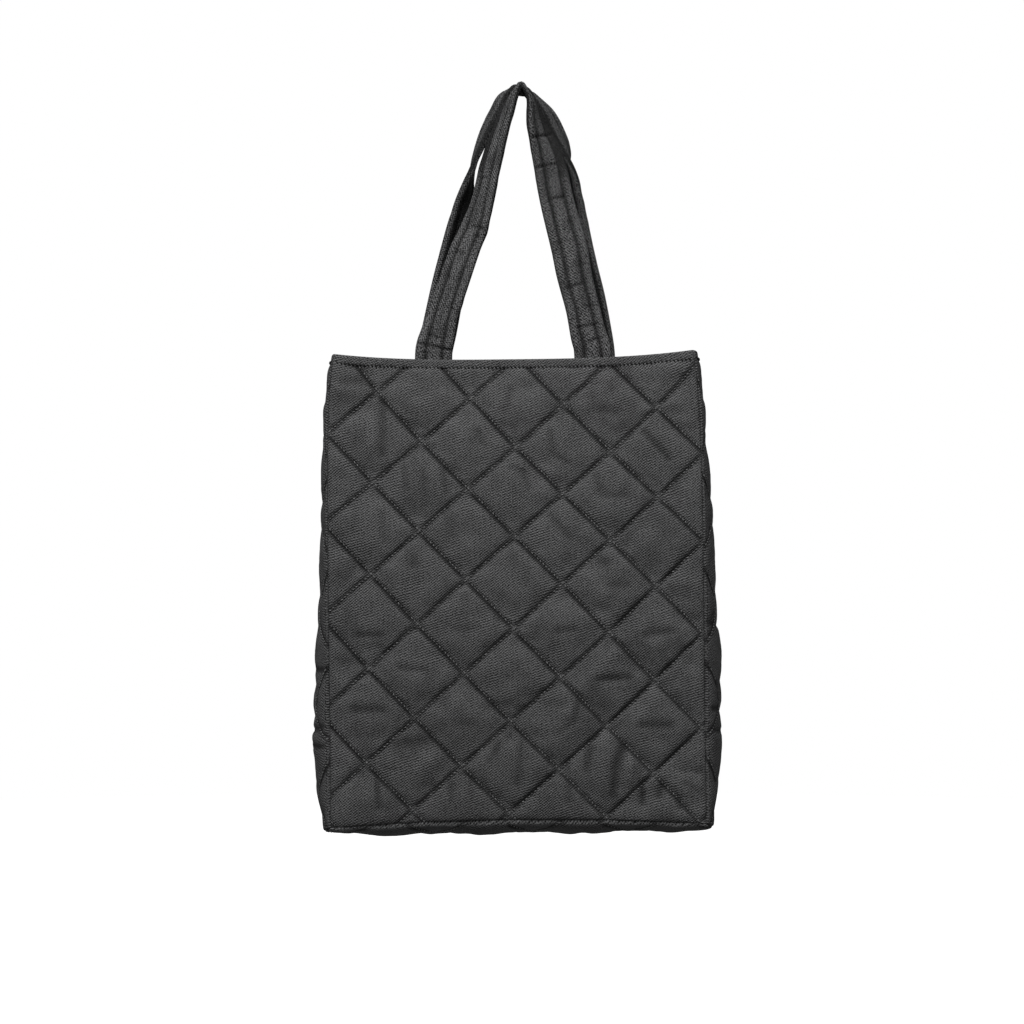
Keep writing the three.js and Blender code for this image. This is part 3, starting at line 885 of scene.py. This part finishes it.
def line_places(start, end):
    """Even stitches from one flat point to another."""
    start, end = np.asarray(start, float), np.asarray(end, float)
    length = np.linalg.norm(end - start)
    direction = (end - start) / length
    count = max(int(length / stitches().pitch), 1)
    places = length * (np.arange(count) + 0.5) / count
    return start + places[:, None] * direction, np.broadcast_to(direction, (count, 2))


def quilting_runs(wall):
    starts, directions = [], []
    low, high = np.floor(wall.corner_cells().min(1)), np.ceil(wall.corner_cells().max(1))
    top = cloth().hem_depth if wall.hemmed else 0
    margin = 1.5 * MM
    reach = 220  # stitches each way from the middle, more than any line of quilting needs
    steps = (np.arange(-reach, reach + 1) * stitches().pitch)[:, None]
    for axis, along, aside in ((0, wall.rising, wall.falling), (1, wall.falling, wall.rising)):
        unit = along / np.linalg.norm(along)
        for line in range(int(low[axis]), int(high[axis]) + 1):
            even = wall.origin + line * aside + steps * unit
            sewn = wall.sewn(even)
            x, y = sewn.T
            inside = (np.abs(x) < wall.width / 2 - margin) & (y > top + margin) & (y < wall.height - margin)
            starts.append(sewn[inside])
            directions.append(np.broadcast_to(unit, (inside.sum(), 2)))
    return np.concatenate(starts), np.concatenate(directions)


def on_outside(wall):
    def place(across, down, lift):
        outside, _ = wall.faces_at(across, down)
        return wall.at(across, down, outside, cloth().puff_outside * wall.padding(across, down) * 0.5 + lift)

    return place


def hem_run(wall, inset=3 * MM):
    w = wall.width / 2 - inset
    return line_places((-w, cloth().hem_depth), (w, cloth().hem_depth))


def edge_runs(wall, inset=1.9 * MM, margin=4 * MM):
    w = wall.width / 2 - inset
    pairs = [line_places((x, margin), (x, wall.height - margin)) for x in (-w, w)]
    return np.concatenate([p[0] for p in pairs]), np.concatenate([p[1] for p in pairs])


# Handles


def spline(stations, count):
    """Centripetal curve through stations, at count even parameters for each span."""
    points = np.array(stations, float)
    ends = [2 * points[0] - points[1], 2 * points[-1] - points[-2]]
    points = np.vstack((ends[0], points, ends[1]))
    found = []
    for k in range(len(points) - 3):
        p = points[k : k + 4]
        d = np.maximum((np.diff(p, axis=0) ** 2).sum(1) ** 0.25, 1e-6)
        t1 = ((p[1] - p[0]) / d[0] - (p[2] - p[0]) / (d[0] + d[1]) + (p[2] - p[1]) / d[1]) * d[1]
        t2 = ((p[2] - p[1]) / d[1] - (p[3] - p[1]) / (d[1] + d[2]) + (p[3] - p[2]) / d[2]) * d[1]
        s = (np.arange(count) / count)[:, None]
        squared = (3 * p[2] - 3 * p[1] - 2 * t1 - t2) * s**2
        cubed = (2 * p[1] - 2 * p[2] + t1 + t2) * s**3
        found.append(p[1] + t1 * s + squared + cubed)
    return np.vstack((*found, points[-2]))


class Handle:
    """A padded handle along its curve. along is the length from its left end, and wide runs across it."""

    def __init__(self, name, rows, side):
        sizes, body = handles(), cloth()
        self.name, self.side = name, side
        tail = lambda row: (-sizes.tail / sizes.drop, row[1], row[2])
        rows = [tail(rows[0]), *rows, tail(rows[-1])]
        shift = lambda h: form().body_shift * (1 - min(max(h, 0), 1))
        stations = [
            (a * sizes.spread / 2 - shift(h), sizes.drop * (h - 1) + sizes.thickness / 2) for h, a, _ in rows
        ]
        fine = 24
        xz = spline(stations, fine)
        rise = max(body.puff_inside, (body.hem_thickness - body.wall) / 2)
        seat = half_depth(np.zeros(1))[0] - body.wall - rise - sizes.seat_gap - sizes.thickness / 2
        peak = (sizes.width + sizes.seat_gap) / 2
        height = (xz[:, 1] - sizes.thickness / 2) / sizes.drop + 1
        y = side * (seat + (peak - seat) * np.clip(height, 0, 1))
        turns = np.interp(np.arange(len(xz)) / fine, np.arange(len(rows)), [row[2] for row in rows])
        centre = np.column_stack((xz[:, 0], y, xz[:, 1]))
        lengths = np.concatenate(([0], np.cumsum(np.linalg.norm(np.diff(centre, axis=0), axis=1))))
        self.length = lengths[-1]
        self.at_length = np.linspace(0, self.length, HANDLE_PLACES)
        even = lambda values: np.interp(self.at_length, lengths, values)
        centre = np.column_stack([even(c) for c in centre.T])
        turn = np.radians(soften(even(turns), TURN_REACH))
        tangent = np.gradient(centre, self.at_length, axis=0)
        tangent /= np.linalg.norm(tangent, axis=1, keepdims=True)
        wide = np.column_stack((np.cos(turn), side * np.sin(turn), np.zeros(len(turn))))
        wide -= (wide * tangent).sum(1, keepdims=True) * tangent
        wide /= np.linalg.norm(wide, axis=1, keepdims=True)
        self.centre, self.wide, self.thick = centre, wide, np.cross(tangent, wide)

    def at(self, along, wide, thick):
        pick = lambda rows: np.column_stack([np.interp(along, self.at_length, c) for c in rows.T])
        return pick(self.centre) + pick(self.wide) * wide[:, None] + pick(self.thick) * thick[:, None]

    def half_thickness(self, wide):
        """Padding's half thickness across the handle, with its rounded edges and the two sewn channels."""
        sizes = handles()
        edge = sizes.width / 2 - np.abs(wide)
        full = sizes.thickness / 2
        rounded = full * np.sqrt(1 - (1 - np.clip(edge / sizes.edge_round, 0, 1)) ** 2)
        off = np.abs(np.abs(wide) - sizes.channel_inset)
        return rounded - sizes.channel_depth * np.exp(-((off / (1.5 * MM)) ** 1.5)) * (edge > 0.5 * MM)

    def height_at(self, along):
        """Height above the mouth's corners, in mm."""
        return (np.interp(along, self.at_length, self.centre[:, 2]) + handles().drop) / MM

    def wrinkle_depth(self, along, wide):
        """Depth of the wrinkles across the front handle's outer face, in mm."""
        deep = np.zeros(len(along))
        if self.side > 0:
            return deep
        height = self.height_at(along)
        leg = np.where(along < self.length / 2, -1, 1)
        from_middle = -wide / MM
        for which, level, start, end, depth in WRINKLES:
            middle, reach = (start + end) / 2, (end - start) / 2
            slope = 0.08 * (from_middle - middle)
            inside = 1 - ease((np.abs(from_middle - middle) - reach + 2) / 4)
            crease = np.exp(-(((height - level - slope) / 1.1) ** 2))
            deep = np.maximum(deep, (leg == which) * depth * inside * crease)
        return deep

    def light_left(self, along, wide):
        """How much of the twill's own tone is left: painted shade in the rows of stitches and along the
        edges, and darker in random patches.
        """
        edge = (handles().width / 2 - np.abs(wide)) / MM
        off = (np.abs(wide) - handles().channel_inset) / MM
        patchy = 0.5 + 0.5 * unevenness(wide, along, 5 * MM, 16 * MM, 41)
        left = (1 - 0.9 * np.exp(-((off / (1.6 + 0.7 * patchy)) ** 2))) * (1 - 0.3 * np.exp(-edge / 1.2))
        return left * (1 - 0.4 * ease(2.4 * patchy - 1.2))

    def from_outer_edge(self, wide):
        """Distance from the handle's outer edge, in mm."""
        return (wide + handles().width / 2) / MM

    def outer_shade(self, along, wide):
        """Painted shade of the face that shows: dark high up where it is tucked in beside the other handle
        and shaded by it, and in its wrinkles.
        """
        tucked_from, fades_over, tucked_width, soft_edge = 130, 25, 10.5, 3  # mm
        high = ease((self.height_at(along) - tucked_from) / fades_over)
        tucked_shadow = high * ease((tucked_width - self.from_outer_edge(wide)) / soft_edge)
        left = self.light_left(along, wide) * (1 - 0.95 * tucked_shadow)
        return 1 - left * (1 - 0.6 * np.minimum(self.wrinkle_depth(along, wide), 1))

    def inner_shade(self, along, wide):
        """Painted shade of the face towards the other handle, dark apart from a painted highlight along a
        margin at its outer edge.
        """
        narrow, added, widens_from, widens_over, soft_edge = 2.2, 2.8, 85, 30, 1.4  # mm
        on_right_leg = along > self.length / 2
        margin = narrow + added * ease((self.height_at(along) - widens_from) / widens_over) * on_right_leg
        past_margin = ease((self.from_outer_edge(wide) - margin) / soft_edge)
        return 1 - self.light_left(along, wide) * (1.55 - 1.5 * past_margin)


def soften(values, reach):
    weights = np.exp(-0.5 * (np.arange(-3 * reach, 3 * reach + 1) / reach) ** 2)
    padded = np.pad(values, 3 * reach, mode="edge")
    return np.convolve(padded, weights / weights.sum(), mode="valid")


def make_handle(name, node, rows, side):
    handle = Handle(name, rows, side)
    sizes = handles()
    half = sizes.width / 2
    turn = np.linspace(0, np.pi / 2, 5)[1:]
    edge = half - sizes.edge_round * (1 - np.sin(turn))
    mid = np.linspace(-(half - sizes.edge_round), half - sizes.edge_round, 25)
    across = np.concatenate((-edge[::-1], mid, edge))
    ring_wide = np.concatenate((across, across[-2:0:-1]))
    ring_side = np.concatenate((np.ones(len(across)), -np.ones(len(across) - 2)))
    count = int(handle.length / HANDLE_STEP)
    bpy.ops.object.select_all(action="DESELECT")
    bpy.ops.mesh.primitive_grid_add(x_subdivisions=len(ring_wide), y_subdivisions=count, size=1)
    piece = bpy.context.object
    piece.name = piece.data.name = name
    grid = points_of(piece)[:, :2] + 0.5
    ring = np.rint(grid[:, 0] * len(ring_wide)).astype(int)
    along = grid[:, 1] * handle.length
    wide = ring_wide[ring % len(ring_wide)]
    facing = ring_side[ring % len(ring_wide)]
    outer = handle.side * facing > 0
    pressed = np.where(outer, handle.wrinkle_depth(along, wide) * MM, 0)
    lumps = LUMP_DEPTH * unevenness(wide, along, 5 * MM, 9 * MM, 31)
    lumps *= handle.half_thickness(wide) > LUMP_EDGE
    thick = facing * (handle.half_thickness(wide) + lumps - pressed)
    # painted shade of the handles, with a painted highlight along the inner face's outer margin
    shade_points(piece, np.where(outer, handle.outer_shade(along, wide), handle.inner_shade(along, wide)))
    closed_wide = np.append(ring_wide, ring_wide[0])
    closed_thick = np.append(ring_side, 1) * handle.half_thickness(closed_wide)
    girth = np.concatenate(([0], np.cumsum(np.hypot(np.diff(closed_wide), np.diff(closed_thick)))))
    lay_flat_map(piece, np.column_stack((girth[ring], along)))
    move_points(piece, handle.at(along, wide, thick))
    open_mesh(piece)
    bpy.ops.mesh.remove_doubles(threshold=0.02 * MM)
    bpy.ops.mesh.select_all(action="DESELECT")
    bpy.ops.mesh.select_non_manifold(
        extend=False, use_wire=False, use_multi_face=False, use_non_contiguous=False, use_verts=False
    )
    bpy.ops.mesh.fill_holes(sides=0)
    bpy.ops.mesh.select_all(action="SELECT")
    bpy.ops.mesh.normals_make_consistent(inside=False)
    bpy.ops.mesh.faces_shade_smooth()
    close_mesh()
    dress(piece, "strap_twill", node)
    return handle


def handle_runs(handle, margin=3 * MM):
    runs = []
    sewn_length = handle.length - 2 * margin
    count = int(sewn_length / stitches().pitch)
    along = margin + sewn_length * (np.arange(count) + 0.5) / count
    for facing in (1, -1):
        for wide in (-handles().channel_inset, handles().channel_inset):

            def place(w, a, lift, facing=facing):
                return handle.at(a, w, facing * (handle.half_thickness(w) + lift))

            starts = np.column_stack((np.full(count, wide), along))
            runs.append((starts, np.broadcast_to((0.0, 1.0), (count, 2)), place))
    return runs


# Materials


class Wire:
    """A socket of a material's nodes that takes part in plain arithmetic."""

    def __init__(self, tree, socket=None):
        self.tree, self.socket = tree, socket

    def node(self, kind, settings=(), inputs=(), output=0):
        """Adds a node. settings are set first, then each named or numbered input gets its value or link."""
        made = self.tree.nodes.new(kind)
        for name, value in dict(settings).items():
            setattr(made, name, value)
        for name, value in dict(inputs).items():
            socket = made.inputs[name]
            if isinstance(value, Wire):
                self.tree.links.new(value.socket, socket)
            else:
                socket.default_value = value
        return Wire(self.tree, made.outputs[output])

    def maths(self, operation, *values):
        return self.node("ShaderNodeMath", {"operation": operation}, dict(enumerate(values)))

    def __add__(self, other):
        return self.maths("ADD", self, other)

    def __radd__(self, other):
        return self.maths("ADD", other, self)

    def __sub__(self, other):
        return self.maths("SUBTRACT", self, other)

    def __rsub__(self, other):
        return self.maths("SUBTRACT", other, self)

    def __mul__(self, other):
        return self.maths("MULTIPLY", self, other)

    def __rmul__(self, other):
        return self.maths("MULTIPLY", other, self)

    def noise(self, place, scale, detail):
        return self.node("ShaderNodeTexNoise", (), {"Vector": place, "Scale": scale, "Detail": detail})

    def between(self, factor, dark, light):
        """A colour that runs from dark to light."""
        settings = {"data_type": "RGBA", "clamp_factor": True}
        return self.node("ShaderNodeMix", settings, {"Factor": factor, 6: dark, 7: light}, output=2)


def toned(tone, factor):
    """A colour's opaque tone, made lighter or darker by a factor."""
    return (*[factor * c for c in tone], 1)


def new_finish(name):
    material = bpy.data.materials.new(name)
    material.use_nodes = True
    return material, material.node_tree.nodes["Principled BSDF"], Wire(material.node_tree)


def set_finish(start, shader, base, height, strength, distance):
    """Links the base colour and a bump of so much height."""
    bump = start.node("ShaderNodeBump", (), {"Strength": strength, "Distance": distance, "Height": height})
    start.tree.links.new(base.socket, shader.inputs["Base Color"])
    start.tree.links.new(bump.socket, shader.inputs["Normal"])


def twill(slot):
    """Twill of the walls or the handles: three crossing sets of ribs, fuzz, blotches, and painted shade in
    the grooves, folds and channels with painted light, from the shade attribute.
    """
    is_handle = slot == "strap_twill"
    name = "handle twill" if is_handle else "charcoal twill"
    if name in bpy.data.materials:
        return bpy.data.materials[name]
    look = finish()
    tone = look.handle if is_handle else look.cloth
    grain, speckle = (700.0, 2.7) if is_handle else (900.0, 1.5)
    turn = look.wale_angle + (math.radians(25) if is_handle else 0)
    material, shader, start = new_finish(name)
    flat = start.node("ShaderNodeUVMap", {"uv_map": "cloth"})
    x = flat.node("ShaderNodeSeparateXYZ", (), {0: flat})
    y = Wire(start.tree, x.socket.node.outputs[1])
    drift = start.noise(flat, 160.0, 3.0)

    def rib(extra_turn, share_of_pitch):
        rise, pitch = turn + math.radians(extra_turn), look.wale_pitch * share_of_pitch
        over = y * (math.cos(rise) / pitch) - x * (math.sin(rise) / pitch)
        return start.maths("SINE", (over + drift) * (2 * math.pi))

    where = start.noise(flat, 35.0, 1.0)
    steep = start.node("ShaderNodeMapRange", (), {"Value": where, "From Min": 0.35, "From Max": 0.6})
    ribs = rib(0, 1) * (1.5 - steep) + rib(22, 0.82) * (steep + 0.5) + rib(118, 0.9) * 0.7
    fuzz = start.noise(flat, grain, 2.0)
    place = start.node("ShaderNodeTexCoord", (), (), output=3)
    blotch = start.noise(place, 45.0, 3.0)
    # painted shade from the shade attribute darkens the twill; where it is below 0 it paints light
    deep = start.node("ShaderNodeAttribute", {"attribute_name": "shade"}, output=2)
    pattern = 0.42 + ribs * 0.19 + (fuzz - 0.5) * speckle + (blotch - 0.5) * 0.3
    pattern = pattern * (1 - deep * 0.85)
    start.tree.links.new((0.78 + pattern * 0.14).socket, shader.inputs["Roughness"])
    shader.inputs["Specular IOR Level"].default_value = 0.06
    base = start.between(pattern, toned(tone, 0.06), toned(tone, 2.3))
    set_finish(start, shader, base, ribs, 0.5, 0.25 * MM)
    return material


def thread_finish(name):
    """Sewing thread with the light and dark of its twist and of its wear."""
    if name in bpy.data.materials:
        return bpy.data.materials[name]
    # painted light and shade on one thread: the quilting thread painted lighter, the seam thread darker
    tone = finish().thread if name == "quilting thread" else finish().shaded_seam_thread
    material, shader, start = new_finish(name)
    place = start.node("ShaderNodeTexCoord", (), (), output=3)
    twist = start.noise(place, 1800.0, 1.0)
    wear_and_painted_light = start.noise(place, 300.0, 1.0)
    shader.inputs["Roughness"].default_value = 0.7
    shader.inputs["Specular IOR Level"].default_value = 0.1
    base = start.between(twist + (wear_and_painted_light - 0.5) * 3.0, toned(tone, 0.4), toned(tone, 1.6))
    set_finish(start, shader, base, twist, 0.3, 0.1 * MM)
    return material


# Operators


class TOTE_OT_panels(bpy.types.Operator):
    """Quilted front and back panels, with the turned-in hem of the mouth"""

    bl_idname = "tote.panels"
    bl_label = "Front and Back Panels"

    def execute(self, context):
        for name in ("front_panel", "back_panel"):
            make_wall(walls()[name])
        return {"FINISHED"}


class TOTE_OT_gussets(bpy.types.Operator):
    """Quilted side gussets and bottom gusset"""

    bl_idname = "tote.gussets"
    bl_label = "Gussets"

    def execute(self, context):
        for name in ("left_gusset", "right_gusset", "bottom_gusset"):
            make_wall(walls()[name])
        return {"FINISHED"}


class TOTE_OT_handles(bpy.types.Operator):
    """Two padded handles with their rows of stitches"""

    bl_idname = "tote.handles"
    bl_label = "Handles"

    def execute(self, context):
        for name, node, rows, side in (
            ("front_handle", "front_strap", FRONT_HANDLE_ROWS, -1),
            ("back_handle", "back_strap", BACK_HANDLE_ROWS, 1),
        ):
            handle = make_handle(name, node, rows, side)
            sew(name + "_stitches", handle_runs(handle), "seam thread")
        return {"FINISHED"}


class TOTE_OT_stitches(bpy.types.Operator):
    """Stitches of the quilting, the hem and the gusset seams"""

    bl_idname = "tote.stitches"
    bl_label = "Wall Stitches"

    def execute(self, context):
        for name, wall in walls().items():
            rows = [("_stitches", quilting_runs, "quilting thread", 1)]
            if wall.hemmed:
                rows.append(("_hem_stitches", hem_run, "seam thread", 1.9))
            if "gusset" in name and wall.hemmed:
                rows.append(("_edge_stitches", edge_runs, "seam thread", 0.7))
            for ending, runs, thread, heavy in rows:
                sew(name + ending, [(*runs(wall), on_outside(wall))], thread, heavy)
        return {"FINISHED"}


class TOTE_OT_stage(bpy.types.Operator):
    """Pale floor, soft studio light and the camera"""

    bl_idname = "tote.stage"
    bl_label = "Stage"

    def execute(self, context):
        stage = context.scene.tote_stage
        bpy.ops.object.select_all(action="DESELECT")
        bpy.ops.mesh.primitive_circle_add(
            vertices=96, radius=4, fill_type="NGON", location=(0, 0, -stage.floor_drop)
        )
        floor = context.object
        floor.name = "floor"
        bpy.ops.object.transform_apply(location=True, rotation=True, scale=True)
        pale, shader, _ = new_finish("pale floor")
        shader.inputs["Base Color"].default_value = (0.9, 0.9, 0.9, 1)
        shader.inputs["Roughness"].default_value = 0.9
        shader.inputs["Emission Color"].default_value = (1, 1, 1, 1)
        shader.inputs["Emission Strength"].default_value = 0.8
        floor.data.materials.append(pale)
        floor.visible_diffuse = floor.visible_glossy = False
        floor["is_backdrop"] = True

        # The room looks white behind the bag and lights it less than that, so the quilting keeps its shade.
        room = bpy.data.worlds.new("white room")
        room.use_nodes = True
        light = Wire(room.node_tree)
        seen = light.node("ShaderNodeLightPath")
        background = room.node_tree.nodes["Background"]
        background.inputs["Color"].default_value = (1, 1, 1, 1)
        room.node_tree.links.new((seen * (1 - stage.sky) + stage.sky).socket, background.inputs["Strength"])
        context.scene.world = room
        context.scene.view_settings.view_transform = "Standard"

        depth = cloth().gusset_width / 2
        middle = np.array((0, -depth, -stage.aim_drop))
        for lamp_name in ("key", "fill"):
            of_lamp = lambda setting: getattr(stage, lamp_name + "_" + setting)
            height, side = of_lamp("height"), of_lamp("side")
            level = math.cos(height)
            towards = np.array((-level * math.sin(side), -level * math.cos(side), math.sin(height)))
            place = middle + of_lamp("distance") * towards
            bpy.ops.object.light_add(type="AREA", location=place, rotation=(math.pi / 2 - height, 0, -side))
            lamp = context.object
            lamp.name = lamp_name + " light"
            lamp.data.energy, lamp.data.size = getattr(stage, lamp_name), of_lamp("size")

        bpy.ops.object.camera_add(
            location=(-stage.camera_left, -depth - stage.distance, -stage.camera_drop),
            rotation=(math.pi / 2, 0, 0),
        )
        camera = context.object
        camera.data.lens, camera.data.sensor_width = stage.lens, 36
        camera.data.clip_start, camera.data.clip_end = 0.05, 50
        context.scene.camera = camera
        return {"FINISHED"}


class TOTE_PT_sidebar(bpy.types.Panel):
    """Tote bag's pieces in the 3D view's sidebar"""

    bl_idname = "TOTE_PT_sidebar"
    bl_label = "Quilted Tote Bag"
    bl_space_type = "VIEW_3D"
    bl_region_type = "UI"
    bl_category = "Tote Bag"

    def draw(self, context):
        for operator in OPERATORS:
            self.layout.operator(operator.bl_idname)
        for name in GROUPS:
            box = self.layout.box()
            group = getattr(context.scene, name)
            for field in group.bl_rna.properties:
                if field.identifier not in ("rna_type", "name"):
                    box.prop(group, field.identifier)


OPERATORS = (TOTE_OT_panels, TOTE_OT_gussets, TOTE_OT_handles, TOTE_OT_stitches, TOTE_OT_stage)
GROUPS = {
    "tote_cloth": ToteCloth,
    "tote_form": ToteForm,
    "tote_handles": ToteHandles,
    "tote_stitches": ToteStitches,
    "tote_finish": ToteFinish,
    "tote_stage": ToteStage,
}


def register():
    for kind in (*GROUPS.values(), *OPERATORS, TOTE_PT_sidebar):
        bpy.utils.register_class(kind)
    for name, kind in GROUPS.items():
        setattr(bpy.types.Scene, name, bpy.props.PointerProperty(type=kind))


def unregister():
    for name in GROUPS:
        delattr(bpy.types.Scene, name)
    for kind in (TOTE_PT_sidebar, *reversed(OPERATORS), *reversed(list(GROUPS.values()))):
        bpy.utils.unregister_class(kind)


def main():
    register()
    bpy.ops.tote.panels()
    bpy.ops.tote.gussets()
    bpy.ops.tote.handles()
    bpy.ops.tote.stitches()
    bpy.ops.tote.stage()
    {"cad": CAD_BOX, "visual": [list(corner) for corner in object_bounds()]}


if __name__ == "__main__":
    main()
